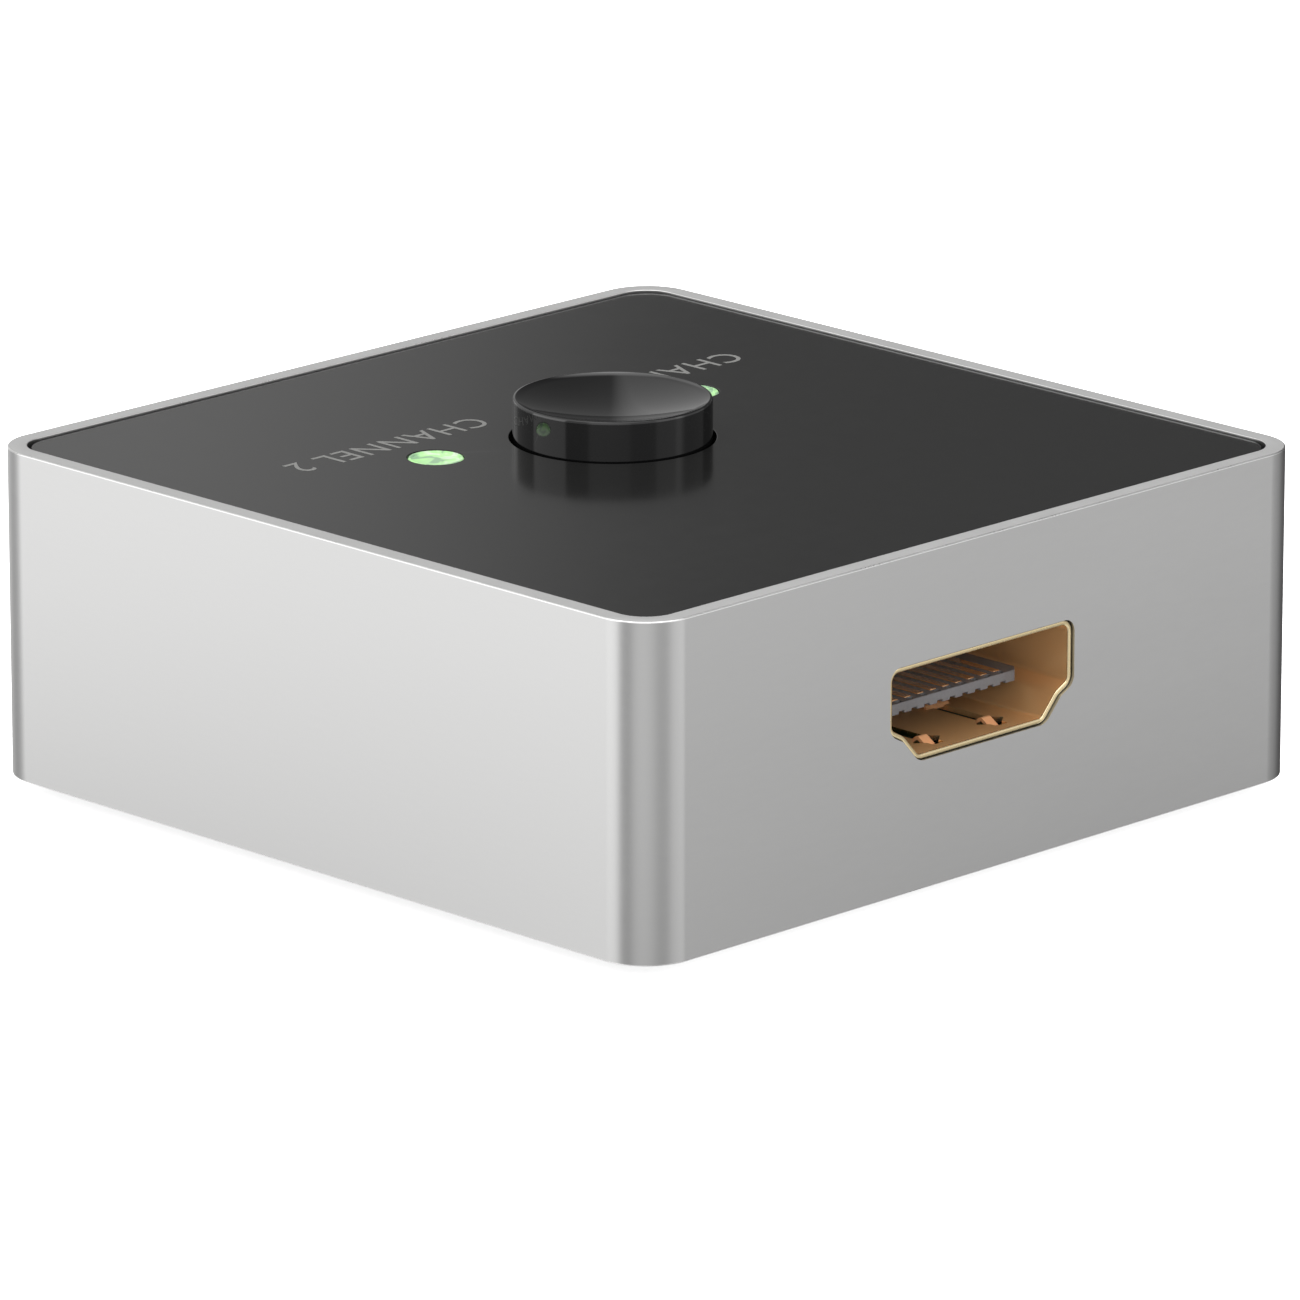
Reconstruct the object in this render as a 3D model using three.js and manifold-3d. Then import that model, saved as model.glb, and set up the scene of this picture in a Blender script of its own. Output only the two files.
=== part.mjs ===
// A two-input HDMI switch box: a rounded-square aluminium sleeve with a glossy top plate,
// a latching push button, two indicator lights, one output socket on +Y and two inputs on -Y.
// Millimetres, +Z up. The origin is under the middle of the box, on the surface its feet stand on.

import * as THREE from 'three';
import { mergeVertices } from 'three/addons/utils/BufferGeometryUtils.js';
import Module from 'manifold-3d';

const wasm = await Module();
wasm.setup();

// ---- Driving dimensions ----
const boxSide = 52; // across the flats of the sleeve
const sleeveHeight = 19;
const cornerRadius = 3;
const wall = 1.1; // sleeve wall
const footStandOut = 1; // how far the feet hold the sleeve off the table
const fitGap = 0.1; // round the plates and covers inside the sleeve
const seatGap = 0.05; // between faces that rest on each other

const sleeveBottom = footStandOut;
const sleeveTop = sleeveBottom + sleeveHeight;
const insideHalf = boxSide / 2 - wall;
const insideRadius = cornerRadius - wall;
const plateSide = 2 * (insideHalf - fitGap);

// Top plate and the covers
const plateRecess = 0.13;
const plateThickness = 1;
const plateTop = sleeveTop - plateRecess;
const coverTop = plateTop - plateThickness - seatGap;
const coverUnderside = coverTop - 1.6;
const baseRecess = 0.3;
const baseThickness = 1.8;
const baseUnderside = sleeveBottom + baseRecess;
const baseTop = baseUnderside + baseThickness;
const skirtWall = 1.2;
const skirtDepth = 1.8;

// Circuit board
const boardTop = sleeveBottom + 6.9;
const boardThickness = 1.6;
const boardSide = 47.6;

// Case screws, at the corners
const screwPlace = 21;
const screwHeadRadius = 1.9;
const screwHeadHeight = 1.2;
const screwRadius = 0.9;
const screwTop = 13;
const headRecess = 0.45;
const bossRadius = 2.2;

// Feet
const footPlace = 15;
const footRadius = 3.8;
const footSink = 0.6; // depth of the foot's seat in the bottom cover

// Button and its latching switch
const buttonX = -0.24; // the button and the lights sit a little off the middle
const buttonY = -2.9;
const buttonRadius = 5.6;
const buttonHoleRadius = 5.81;
const buttonStandOut = 2.18; // above the sleeve's top edge, released
const buttonTravel = 2;
const dishDepth = 0.75;
const flangeRadius = 6.6;
const stemSide = 3.3;
const switchSide = 8.5;
const switchBottom = boardTop + seatGap;
const switchTop = 13.4;
const switchWall = 0.8;
const switchLid = 0.5;

// Indicator lights
const lightX = 10.04;
const lightY = -6.7;
const pipeRadius = 1.59;

// HDMI socket, measured from the floor of its mouth
const socketFloor = sleeveBottom + 7.6;
const mouthRecess = 0.15; // the shell's rim behind the sleeve's face
const outputX = 0.16;
const inputSpacing = 22;
const mouthHalf = 6.92;
const mouthHeight = 4.93;
const mouthSideEnd = 1.76; // height at which the straight sides end
const shoulderHalf = 6;
const shoulderHeight = 1.27;
const floorHalf = 4.86;
const mouthCorner = 0.5;
const shellSheet = 0.29;
const shellDepth = 11;
const cutoutGap = 0.13;
const tongueHalf = 5.55;
const tongueBottom = 1.5;
const tongueTop = 2.28;
const tongueRecess = 2.58;
const contactPitch = 1;
const contactWidth = 0.42;
const contactThickness = 0.12;
const grooveDepth = 0.15;
const blockFront = 8; // depth of the insulator's block behind the mouth
const blockBack = 9.6;

// ---- Finishes ----
const finish = (color, roughness, metalness) => new THREE.MeshStandardMaterial({ color, roughness, metalness });
const satinAluminium = finish(0xc4c6c9, 0.42, 1);
const blackGloss = finish(0x101114, 0.08, 0);
const blackPlastic = finish(0x1a1b1d, 0.6, 0);
const blackRubber = finish(0x232323, 0.9, 0);
const boardGreen = finish(0x1d5a3a, 0.5, 0);
const goldPlate = finish(0xcdb27a, 0.3, 1);
const copperAlloy = finish(0xc07a4a, 0.35, 1);
const socketPlastic = finish(0x4c4f57, 0.55, 0);
const greenLens = finish(0xbff7b4, 0.2, 0);
const screwSteel = finish(0x8f9296, 0.35, 1);
const springSteel = finish(0xb4b7ba, 0.3, 1);
const chipBlack = finish(0x202124, 0.5, 0);
const ceramicTan = finish(0xb59468, 0.5, 0);
const ledWhite = finish(0xe8e6d8, 0.4, 0);

// ---- Shapes ----
// A rounded rectangle centred on the origin.
function roundedSquare(side, radius, Kind = THREE.Shape) {
  const half = side / 2;
  const outline = new Kind();
  outline.absarc(half - radius, half - radius, radius, 0, Math.PI / 2);
  outline.absarc(-half + radius, half - radius, radius, Math.PI / 2, Math.PI);
  outline.absarc(-half + radius, -half + radius, radius, Math.PI, Math.PI * 1.5);
  outline.absarc(half - radius, -half + radius, radius, Math.PI * 1.5, Math.PI * 2);
  return outline;
}

// An upright slab of the outline between two heights.
function slab(outline, low, high, curveSegments = 4) {
  const geometry = new THREE.ExtrudeGeometry(outline, { depth: high - low, bevelEnabled: false, curveSegments });
  return geometry.translate(0, 0, low);
}

function box(x0, x1, y0, y1, z0, z1) {
  const geometry = new THREE.BoxGeometry(x1 - x0, y1 - y0, z1 - z0);
  return geometry.translate((x0 + x1) / 2, (y0 + y1) / 2, (z0 + z1) / 2);
}

function post(x, y, radius, low, high, sides = 16) {
  const geometry = new THREE.CylinderGeometry(radius, radius, high - low, sides);
  return geometry.rotateX(Math.PI / 2).translate(x, y, (low + high) / 2);
}

// A turned piece: a profile of [radius, height] pairs about the Z axis.
function turned(profile, sides = 24) {
  const points = profile.map(([radius, height]) => new THREE.Vector2(radius, height));
  return new THREE.LatheGeometry(points, sides).rotateX(Math.PI / 2);
}

// ---- Joining and cutting ----
function toSolid(geometry) {
  const bare = geometry.clone();
  bare.deleteAttribute('normal');
  bare.deleteAttribute('uv');
  const merged = mergeVertices(bare, 1e-5);
  return new wasm.Manifold(new wasm.Mesh({
    numProp: 3,
    vertProperties: new Float32Array(merged.attributes.position.array),
    triVerts: new Uint32Array(merged.index.array),
  }));
}

function toGeometry(solid) {
  const mesh = solid.getMesh();
  const geometry = new THREE.BufferGeometry();
  geometry.setAttribute('position', new THREE.BufferAttribute(new Float32Array(mesh.vertProperties), 3));
  geometry.setIndex(new THREE.BufferAttribute(new Uint32Array(mesh.triVerts), 1));
  geometry.computeVertexNormals();
  return geometry;
}

function shaped(base, added, removed) {
  let solid = toSolid(base);
  for (const geometry of added) solid = solid.add(toSolid(geometry));
  for (const geometry of removed) solid = solid.subtract(toSolid(geometry));
  return toGeometry(solid);
}

const model = new THREE.Group();

function addPart(name, geometry, material, parent = model) {
  const mesh = new THREE.Mesh(geometry, material);
  mesh.name = name;
  parent.add(mesh);
  return mesh;
}

const corners = [[1, 1], [-1, 1], [-1, -1], [1, -1]];

// ---- HDMI socket outline ----
// The D-shaped outline of the mouth, grown outwards by an offset. X runs across and Y is the
// height above the mouth's floor. Corners are rounded, the two at the top the most.
function mouthOutline(offset, Kind = THREE.Shape) {
  const right = [
    [floorHalf, 0, 0.2], [shoulderHalf, shoulderHeight, 0.25], [mouthHalf, mouthSideEnd, 0.2],
    [mouthHalf, mouthHeight, mouthCorner],
  ];
  const left = right.map(([x, y, radius]) => [-x, y, radius]).reverse();
  const outline = [...right, ...left].map(([x, y, radius]) => ({ at: new THREE.Vector2(x, y), radius }));
  const count = outline.length;
  const grown = outline.map(({ at, radius }, i) => {
    const before = at.clone().sub(outline[(i + count - 1) % count].at).normalize();
    const after = outline[(i + 1) % count].at.clone().sub(at).normalize();
    const out = new THREE.Vector2(before.y + after.y, -before.x - after.x).normalize();
    const reach = offset / Math.sqrt((1 + before.dot(after)) / 2);
    const turn = Math.sign(before.cross(after));
    return { at: at.clone().addScaledVector(out, reach), radius: radius + turn * offset * 0.8, before, after };
  });
  const path = new Kind();
  grown.forEach(({ at, radius, before, after }, i) => {
    const reach = Math.max(radius, 0.02);
    const start = at.clone().addScaledVector(before, -reach);
    const end = at.clone().addScaledVector(after, reach);
    if (i === 0) path.moveTo(start.x, start.y);
    else path.lineTo(start.x, start.y);
    path.quadraticCurveTo(at.x, at.y, end.x, end.y);
  });
  path.closePath();
  return path;
}

// The outline carried back from the mouth, between two depths behind it.
function mouthSlab(outline, front, back) {
  return slab(outline, front, back, 3).rotateX(Math.PI / 2);
}

// ---- Case ----
function socketPlaces() {
  const mouthY = boxSide / 2 - mouthRecess;
  return [
    { name: 'output', x: outputX, y: mouthY, turn: 0 },
    { name: 'input_1', x: -inputSpacing / 2, y: -mouthY, turn: Math.PI },
    { name: 'input_2', x: inputSpacing / 2, y: -mouthY, turn: Math.PI },
  ];
}

function sleeve() {
  const ring = roundedSquare(boxSide, cornerRadius);
  ring.holes.push(roundedSquare(2 * insideHalf, insideRadius, THREE.Path));
  const reach = wall + 1;
  const cutouts = socketPlaces().map(({ x, y, turn }) => (
    mouthSlab(mouthOutline(shellSheet + cutoutGap), -reach, reach).rotateZ(turn).translate(x, y, socketFloor)
  ));
  return shaped(slab(ring, sleeveBottom, sleeveTop, 6), [], cutouts);
}

function topPlate() {
  const cuts = [post(buttonX, buttonY, buttonHoleRadius, coverTop, sleeveTop, 32)];
  for (const side of [-1, 1]) cuts.push(post(buttonX + side * lightX, lightY, pipeRadius + 0.06, coverTop, sleeveTop));
  return shaped(slab(roundedSquare(plateSide, insideRadius), plateTop - plateThickness, plateTop), [], cuts);
}

// The wall that stands round the edge of a cover, on its inner side.
function coverSkirt(low, high) {
  const ring = roundedSquare(plateSide, insideRadius);
  ring.holes.push(roundedSquare(plateSide - 2 * skirtWall, insideRadius / 2, THREE.Path));
  return slab(ring, low, high);
}

function topCover() {
  const added = [coverSkirt(coverUnderside - skirtDepth, coverTop)];
  const cuts = [];
  for (const [x, y] of corners) {
    const [px, py] = [x * screwPlace, y * screwPlace];
    added.push(post(px, py, bossRadius, boardTop + seatGap, coverTop - 0.5));
    cuts.push(post(px, py, screwRadius + fitGap, boardTop - 1, screwTop + 1));
  }
  added.push(post(buttonX, buttonY, flangeRadius + 1.3, coverUnderside - 2, coverTop - 0.5, 32));
  cuts.push(post(buttonX, buttonY, flangeRadius + 0.3, coverUnderside - 3, coverUnderside, 32));
  cuts.push(post(buttonX, buttonY, buttonRadius + 0.2, coverUnderside - 3, sleeveTop, 32));
  for (const side of [-1, 1]) {
    added.push(post(buttonX + side * lightX, lightY, 3.1, boardTop + 2.2, coverTop - 0.5));
    cuts.push(post(buttonX + side * lightX, lightY, 2.4, boardTop + 1, coverUnderside));
    cuts.push(post(buttonX + side * lightX, lightY, pipeRadius + 0.12, coverUnderside - 1, sleeveTop));
  }
  return shaped(slab(roundedSquare(plateSide, insideRadius), coverUnderside, coverTop), added, cuts);
}

function bottomCover() {
  const added = [coverSkirt(baseUnderside, baseTop + skirtDepth)];
  const cuts = [];
  for (const [x, y] of corners) {
    const [px, py] = [x * screwPlace, y * screwPlace];
    added.push(post(px, py, bossRadius + 0.5, baseTop - 0.5, boardTop - boardThickness - seatGap));
    cuts.push(post(px, py, screwHeadRadius + 0.25, 0, baseUnderside + headRecess + screwHeadHeight));
    cuts.push(post(px, py, screwRadius + 0.25, 0, boardTop));
    cuts.push(post(x * footPlace, y * footPlace, footRadius + fitGap, 0, baseUnderside + footSink, 24));
  }
  return shaped(slab(roundedSquare(plateSide, insideRadius), baseUnderside, baseTop), added, cuts);
}

function caseScrew() {
  const head = baseUnderside + headRecess;
  const neck = head + screwHeadHeight - seatGap;
  const profile = [[0, head], [screwHeadRadius - 0.3, head], [screwHeadRadius, head + 0.3],
    [screwHeadRadius, neck], [screwRadius, neck], [screwRadius, screwTop - 0.6], [0.3, screwTop], [0, screwTop]];
  const drive = [box(-1, 1, -0.2, 0.2, 0, head + 0.6), box(-0.2, 0.2, -1, 1, 0, head + 0.6)];
  return shaped(turned(profile, 12), [], drive);
}

function rubberFoot() {
  const top = baseUnderside + footSink - seatGap;
  return turned([[0, 0], [footRadius - 0.4, 0], [footRadius, 0.4], [footRadius, top], [0, top]]);
}

// ---- Circuit board ----
const legDepths = [3.4, 9.2]; // behind the mouth
const legHalfWidth = 0.45;
const pinX = [-2.5, 0, 2.5];
const pinY = 2.9;

function circuitBoard() {
  const bottom = boardTop - boardThickness;
  const cuts = corners.map(([x, y]) => post(x * screwPlace, y * screwPlace, screwRadius + 0.35, bottom - 1, boardTop + 1));
  for (const { x, y, turn } of socketPlaces()) {
    for (const side of [-1, 1]) {
      for (const depth of legDepths) {
        const slot = box(side * mouthHalf - 0.5, side * mouthHalf + 0.8, -depth - 0.75, -depth + 0.75, -4, 1);
        cuts.push(side > 0 ? slot.rotateZ(turn).translate(x, y, socketFloor)
          : slot.translate(-0.3, 0, 0).rotateZ(turn).translate(x, y, socketFloor));
      }
    }
  }
  for (const x of pinX) {
    for (const side of [-1, 1]) cuts.push(post(buttonX + x, buttonY + side * pinY, 0.5, bottom - 1, boardTop + 1, 12));
  }
  return shaped(slab(roundedSquare(boardSide, 1.5), bottom, boardTop), [], cuts);
}

// ---- HDMI sockets ----
// One spring finger pressed out of the shell's floor: a strip bent down from its root at the
// back, then up through the slot to a blunt tip behind the mouth.
const fingerX = 2.55;
const fingerHalfWidth = 0.36;
const fingerSheet = 0.2;
const fingerLine = [[6.5, -0.16], [5.9, -0.16], [5.45, -0.46], [2.9, -0.46], [2.05, 0.02], [1.45, -0.36]];

function springFinger(x) {
  const line = fingerLine.map(([depth, height]) => new THREE.Vector2(depth, height));
  const side = (sign) => line.map((point, i) => {
    const along = (line[i + 1] ?? point).clone().sub(line[i - 1] ?? point).normalize();
    return point.clone().add(new THREE.Vector2(-along.y, along.x).multiplyScalar(sign * fingerSheet / 2));
  });
  const outline = new THREE.Shape([...side(1), ...side(-1).reverse()]);
  const strip = new THREE.ExtrudeGeometry(outline, { depth: 2 * fingerHalfWidth, bevelEnabled: false });
  strip.rotateX(Math.PI / 2).rotateZ(-Math.PI / 2);
  return strip.translate(x + fingerHalfWidth, 0, 0);
}

function socketShell() {
  const ring = mouthOutline(shellSheet);
  ring.holes.push(mouthOutline(0, THREE.Path));
  const added = [];
  const cuts = [box(-floorHalf - 0.2, floorHalf + 0.2, -shellDepth - 1, -blockBack, -1, 1.2)]; // for the tails
  for (const side of [-1, 1]) {
    const x = side * fingerX;
    cuts.push(box(x - fingerHalfWidth - 0.12, x + fingerHalfWidth + 0.12, -5.95, -1.2, -1, 1));
    cuts.push(box(x - 1.1, x + 1.1, -2.25, -1.2, -1, 1));
    added.push(springFinger(x));
    for (const depth of legDepths) {
      const outer = side * (mouthHalf + shellSheet);
      const inner = side * (mouthHalf + 0.01);
      added.push(box(Math.min(outer, inner), Math.max(outer, inner),
        -depth - legHalfWidth, -depth + legHalfWidth, -3.2, mouthSideEnd + 0.6));
    }
  }
  const slotted = shaped(mouthSlab(ring, 0, shellDepth), [], cuts);
  return shaped(slotted, added, []);
}

const upperContacts = Array.from({ length: 10 }, (_, i) => (i - 4.5) * contactPitch);
const lowerContacts = Array.from({ length: 9 }, (_, i) => (i - 4) * contactPitch);

function socketInsulator() {
  const cuts = [];
  const half = contactWidth / 2 + 0.05;
  for (const x of upperContacts) {
    cuts.push(box(x - half, x + half, -12, 0, tongueTop - grooveDepth, tongueTop + 0.05));
  }
  for (const x of lowerContacts) {
    cuts.push(box(x - half, x + half, -12, 0, tongueBottom - 0.05, tongueBottom + grooveDepth));
  }
  const tongue = new THREE.Shape([
    [-tongueHalf, -blockFront - 0.2], [tongueHalf, -blockFront - 0.2], [tongueHalf, -tongueRecess - 0.35],
    [tongueHalf - 0.35, -tongueRecess], [-tongueHalf + 0.35, -tongueRecess], [-tongueHalf, -tongueRecess - 0.35],
  ].map(([x, y]) => new THREE.Vector2(x, y)));
  const block = mouthSlab(mouthOutline(-0.08), blockFront, blockBack);
  return shaped(block, [slab(tongue, tongueBottom, tongueTop)], cuts);
}

// A row of contacts, joined behind the insulator by the strip that they are stamped from.
function contactRow(places, low, tailDepth) {
  const half = contactWidth / 2;
  const reach = places[places.length - 1] + half;
  const tail = box(-reach, reach, -tailDepth - 0.2, -tailDepth, -0.6, low + contactThickness);
  const blades = places.map((x) => (
    box(x - half, x + half, -tailDepth - 0.1, -tongueRecess - 0.3, low, low + contactThickness)
  ));
  return shaped(tail, blades, []);
}

function addSocket({ name, x, y, turn }) {
  const group = new THREE.Group();
  group.position.set(x, y, socketFloor);
  group.rotation.z = turn;
  model.add(group);
  const upper = tongueTop - grooveDepth + 0.02;
  const lower = tongueBottom + grooveDepth - 0.02 - contactThickness;
  addPart(`${name}_socket_shell`, socketShell(), goldPlate, group);
  addPart(`${name}_socket_insulator`, socketInsulator(), socketPlastic, group);
  addPart(`${name}_upper_contacts`, contactRow(upperContacts, upper, 10.3), copperAlloy, group);
  addPart(`${name}_lower_contacts`, contactRow(lowerContacts, lower, 9.75), copperAlloy, group);
}

// ---- Button and latching switch, about the button's axis ----
const capTop = sleeveTop + buttonStandOut;
const flangeTop = coverUnderside - seatGap * 2;
const flangeBottom = flangeTop - 0.8;
const stemTop = capTop - dishDepth - 2.2;
const plungerTop = switchTop - 0.1;
const plungerFlange = 0.8;
const switchFloor = switchBottom + switchWall;
const insideSwitch = switchSide / 2 - switchWall;

function buttonCap() {
  const dishRadius = buttonRadius - 0.35;
  const dish = Array.from({ length: 5 }, (_, i) => {
    const radius = dishRadius * i / 4;
    return [radius, capTop - 0.1 - dishDepth * (1 - (radius / dishRadius) ** 2)];
  });
  const wallInside = buttonRadius - 1.1;
  const ceiling = capTop - dishDepth - 1.6;
  const profile = [...dish, [buttonRadius - 0.25, capTop], [buttonRadius, capTop - 0.25],
    [buttonRadius, flangeTop], [flangeRadius, flangeTop], [flangeRadius, flangeBottom],
    [wallInside, flangeBottom], [wallInside, ceiling], [stemSide - 0.3, ceiling],
    [stemSide - 0.3, flangeBottom + 0.1], [0, flangeBottom + 0.1]];
  const half = stemSide / 2 + fitGap;
  const socket = box(-half, half, -half, half, flangeBottom - 1, stemTop + fitGap);
  return shaped(turned(profile.reverse(), 32), [], [socket]);
}

function switchHousing() {
  const half = switchSide / 2;
  const cavity = box(-insideSwitch, insideSwitch, -insideSwitch, insideSwitch, switchFloor, switchTop + 1);
  return shaped(box(-half, half, -half, half, switchBottom, switchTop), [], [cavity]);
}

function switchLidPlate() {
  const half = switchSide / 2;
  const hole = stemSide / 2 + 0.15;
  const low = switchTop + seatGap;
  return shaped(box(-half, half, -half, half, low, low + switchLid), [],
    [box(-hole, hole, -hole, hole, low - 1, low + switchLid + 1)]);
}

function switchPlunger() {
  const stem = stemSide / 2;
  const flange = insideSwitch - 0.55;
  const under = plungerTop - plungerFlange;
  return shaped(box(-flange, flange, -flange, flange, under, plungerTop),
    [box(-stem, stem, -stem, stem, under + 0.1, stemTop), post(0, 0, 0.8, under - 0.8, under + 0.1, 12)], []);
}

function movingContact(side) {
  const top = plungerTop - plungerFlange - seatGap;
  const outline = new THREE.Shape([[1.7, top], [1.7, top - 0.25], [2.45, top - 0.25], [2.45, top - 1.1],
    [2.85, top - 1.5], [3.05, top - 1.4], [2.7, top - 1], [2.7, top]].map(([x, z]) => new THREE.Vector2(x, z)));
  const strip = new THREE.ExtrudeGeometry(outline, { depth: 1.6, bevelEnabled: false });
  return strip.rotateX(Math.PI / 2).translate(0, 0.8, 0).rotateZ(side > 0 ? 0 : Math.PI);
}

const springRadius = 1.3;
const springWire = 0.15;
const springTurns = 4;

function returnSpring() {
  const low = switchFloor + springWire + 0.02;
  const high = plungerTop - plungerFlange - springWire - 0.02;
  class Helix extends THREE.Curve {
    getPoint(t) {
      const angle = 2 * Math.PI * springTurns * t;
      return new THREE.Vector3(springRadius * Math.cos(angle), springRadius * Math.sin(angle), low + (high - low) * t);
    }
  }
  const wire = new THREE.Shape(Array.from({ length: 6 }, (_, i) => (
    new THREE.Vector2(springWire * Math.cos(i * Math.PI / 3), springWire * Math.sin(i * Math.PI / 3))
  )));
  return new THREE.ExtrudeGeometry(wire, { steps: springTurns * 10, extrudePath: new Helix(), bevelEnabled: false });
}

// The wire that follows the heart-shaped cam and holds the plunger down on every other press.
function latchWire() {
  const y = insideSwitch - 0.25;
  const line = new THREE.CatmullRomCurve3([[0.9, 0.3], [0.9, 1.6], [0.5, 2.6], [-0.1, 3.2], [-0.6, 2.9]]
    .map(([x, rise]) => new THREE.Vector3(x, y, switchFloor + rise)));
  const wire = new THREE.Shape(Array.from({ length: 6 }, (_, i) => (
    new THREE.Vector2(0.12 * Math.cos(i * Math.PI / 3), 0.12 * Math.sin(i * Math.PI / 3))
  )));
  return new THREE.ExtrudeGeometry(wire, { steps: 10, extrudePath: line, bevelEnabled: false });
}

function addButton() {
  const group = new THREE.Group();
  group.position.set(buttonX, buttonY, 0);
  model.add(group);
  addPart('button_cap', buttonCap(), blackGloss, group);
  addPart('switch_plunger', switchPlunger(), blackPlastic, group);
  addPart('moving_contact_1', movingContact(-1), copperAlloy, group);
  addPart('moving_contact_2', movingContact(1), copperAlloy, group);
  addPart('return_spring', returnSpring(), springSteel, group);
  addPart('latch_wire', latchWire(), springSteel, group);
  addPart('switch_housing', switchHousing(), blackPlastic, group);
  addPart('switch_lid', switchLidPlate(), springSteel, group);
  let number = 0;
  for (const side of [-1, 1]) {
    for (const x of pinX) {
      number += 1;
      const pin = box(x - 0.25, x + 0.25, side * pinY - 0.15, side * pinY + 0.15, boardTop - 2.6, boardTop);
      addPart(`switch_pin_${number}`, pin, goldPlate, group);
    }
  }
}

// ---- Lights ----
function lightPipe() {
  const low = boardTop + 1.2;
  const flange = coverUnderside - seatGap;
  return turned([[0, low], [pipeRadius - 0.3, low], [pipeRadius, low + 0.3], [pipeRadius, flange - 0.7],
    [2.2, flange - 0.7], [2.2, flange], [pipeRadius, flange], [pipeRadius, plateTop - 0.15],
    [pipeRadius - 0.12, plateTop - 0.03], [0, plateTop - 0.03]], 16);
}

function addLights() {
  [-1, 1].forEach((side, i) => {
    addPart(`light_pipe_${i + 1}`, lightPipe().translate(buttonX + side * lightX, lightY, 0), greenLens);
    const led = shaped(box(-1.4, 1.4, -0.8, 0.8, boardTop + seatGap, boardTop + 0.75),
      [turned([[0, boardTop + 0.5], [0.7, boardTop + 0.5], [0.55, boardTop + 1], [0, boardTop + 1.1]], 12)], []);
    addPart(`led_${i + 1}`, led.translate(buttonX + side * lightX, lightY, 0), ledWhite);
  });
}

// ---- Parts on the board ----
const boardParts = [
  { name: 'switch_chip', x: 9.5, y: 5, size: [7, 7, 0.9], material: chipBlack },
  { name: 'voltage_regulator', x: -10, y: 6.5, size: [3, 1.7, 1.1], material: chipBlack },
  { name: 'esd_array_1', x: 0, y: 11, size: [3.2, 2, 0.8], material: chipBlack },
  { name: 'esd_array_2', x: -11, y: -11.6, size: [3.2, 2, 0.8], material: chipBlack },
  { name: 'esd_array_3', x: 11, y: -11.6, size: [3.2, 2, 0.8], material: chipBlack },
  { name: 'capacitor_1', x: -10, y: 10, size: [3.2, 1.6, 1.4], material: ceramicTan },
  { name: 'capacitor_2', x: -14.5, y: 6.5, size: [2, 1.25, 0.9], material: ceramicTan },
  { name: 'capacitor_3', x: 15.2, y: 5, size: [1.25, 2, 0.9], material: ceramicTan },
  { name: 'capacitor_4', x: 9.5, y: 10.6, size: [2, 1.25, 0.9], material: ceramicTan },
];

function addBoardParts() {
  for (const { name, x, y, size: [dx, dy, dz], material } of boardParts) {
    const low = boardTop + seatGap;
    addPart(name, box(x - dx / 2, x + dx / 2, y - dy / 2, y + dy / 2, low, low + dz), material);
  }
}

// ---- Assembly ----
addPart('housing_sleeve', sleeve(), satinAluminium);
addPart('top_plate', topPlate(), blackGloss);
addPart('top_cover', topCover(), blackPlastic);
addPart('bottom_cover', bottomCover(), blackPlastic);
corners.forEach(([x, y], i) => {
  addPart(`case_screw_${i + 1}`, caseScrew().translate(x * screwPlace, y * screwPlace, 0), screwSteel);
  addPart(`rubber_foot_${i + 1}`, rubberFoot().translate(x * footPlace, y * footPlace, 0), blackRubber);
});
addPart('circuit_board', circuitBoard(), boardGreen);
socketPlaces().forEach(addSocket);
addButton();
addLights();
addBoardParts();

export default model;
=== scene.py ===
import math

import bmesh
import bpy
from mathutils import Matrix, Vector


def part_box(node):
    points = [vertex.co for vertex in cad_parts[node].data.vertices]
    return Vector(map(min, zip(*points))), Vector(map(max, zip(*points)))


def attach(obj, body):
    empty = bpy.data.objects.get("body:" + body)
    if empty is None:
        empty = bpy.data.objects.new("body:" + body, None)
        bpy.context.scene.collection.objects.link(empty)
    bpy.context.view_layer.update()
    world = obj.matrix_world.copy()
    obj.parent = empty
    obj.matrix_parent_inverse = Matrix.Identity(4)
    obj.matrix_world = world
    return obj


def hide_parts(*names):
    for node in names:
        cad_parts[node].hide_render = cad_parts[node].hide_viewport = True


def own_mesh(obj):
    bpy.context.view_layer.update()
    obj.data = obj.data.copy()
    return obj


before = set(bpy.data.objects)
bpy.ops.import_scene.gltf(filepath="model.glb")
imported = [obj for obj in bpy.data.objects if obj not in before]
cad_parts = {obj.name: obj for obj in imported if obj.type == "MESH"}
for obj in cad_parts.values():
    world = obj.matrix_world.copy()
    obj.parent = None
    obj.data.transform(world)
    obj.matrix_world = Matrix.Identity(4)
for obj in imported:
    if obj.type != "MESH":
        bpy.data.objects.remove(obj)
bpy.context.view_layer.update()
print("stage: frame loaded")

toMetres = Matrix.Scale(0.001, 4)  # pieces are modelled in millimetres and scaled once at the end


def cadBox(node):
    low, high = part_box(node)
    return Vector(low) * 1000, Vector(high) * 1000


def cadMiddle(node):
    low, high = cadBox(node)
    return (low.x + high.x) / 2, (low.y + high.y) / 2


viewPoint = {"azimuth": 135.05, "elevation": 16.3, "distance": 617.7, "aimHeight": 8.1, "aimRight": 0.2,
             "lens": 306.03}


def directionFrom(azimuth, elevation):
    a, e = math.radians(azimuth), math.radians(elevation)
    return Vector((math.sin(a) * math.cos(e), -math.cos(a) * math.cos(e), math.sin(e)))


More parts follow.
